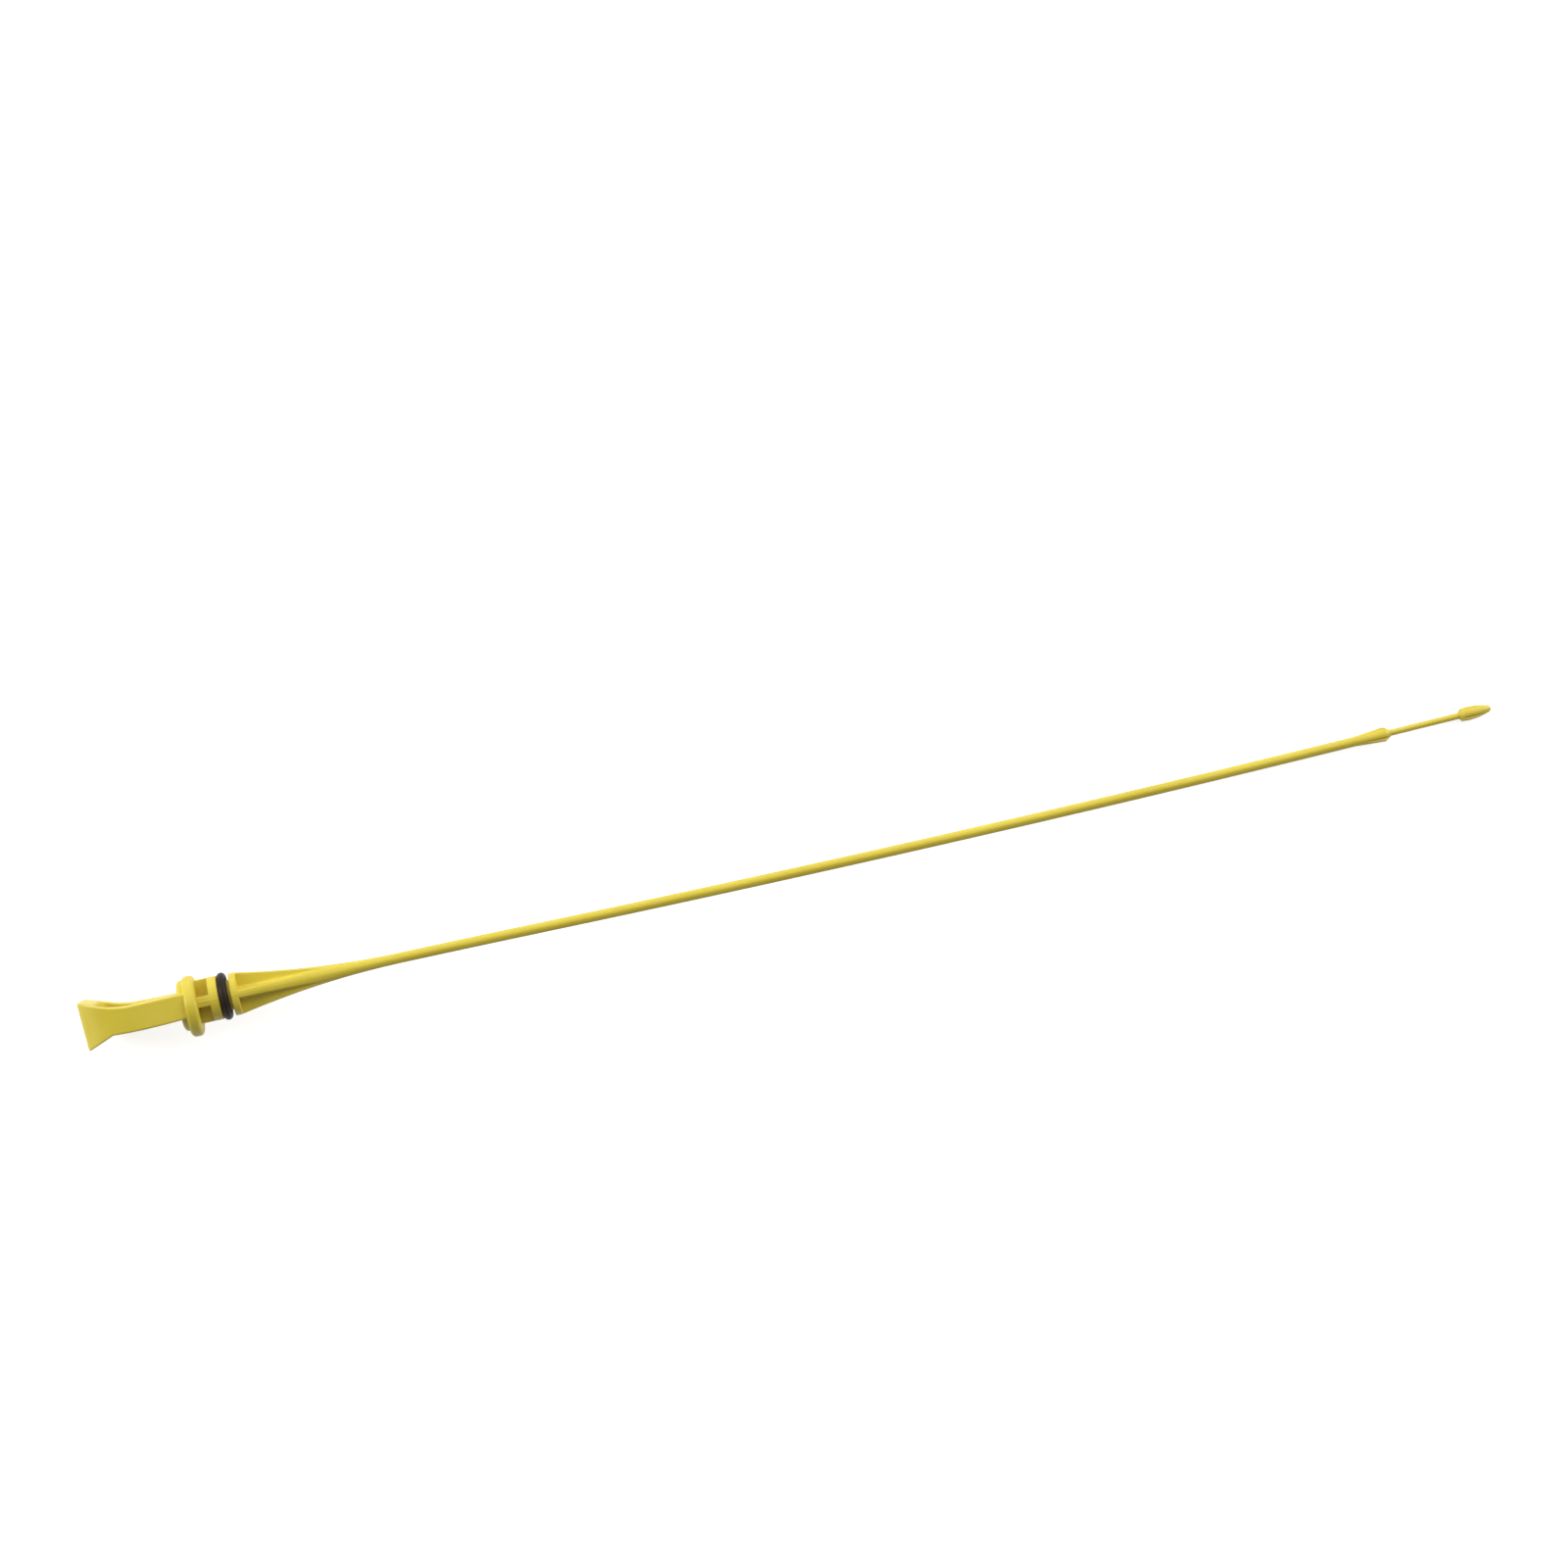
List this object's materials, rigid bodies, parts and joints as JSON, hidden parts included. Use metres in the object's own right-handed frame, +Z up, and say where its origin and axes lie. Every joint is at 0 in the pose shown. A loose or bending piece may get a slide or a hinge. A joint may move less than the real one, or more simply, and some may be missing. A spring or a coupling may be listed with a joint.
{
  "type": "engine oil dipstick",
  "caption": "Long moulded dipstick with a finger ring, seat flange, sealed plug, webbed root and finned level marks, used to read the oil level in an engine.",
  "frame": {"origin": "centre of the flange face that seats on the dipstick tube, on the plug axis", "axes": "+X along the plug axis towards the tip, +Z up as the stick lies on one edge of its finger ring, which stands in the XZ plane"},
  "size_m": [0.4497, 0.0179, 0.026],
  "materials": {
    "yellow_plastic": "satin moulded",
    "black_rubber": "matt rubber"
  },
  "bodies": {
    "root": {"moulded_stick": "yellow_plastic", "o_ring": "black_rubber"}
  },
  "joints": []
}
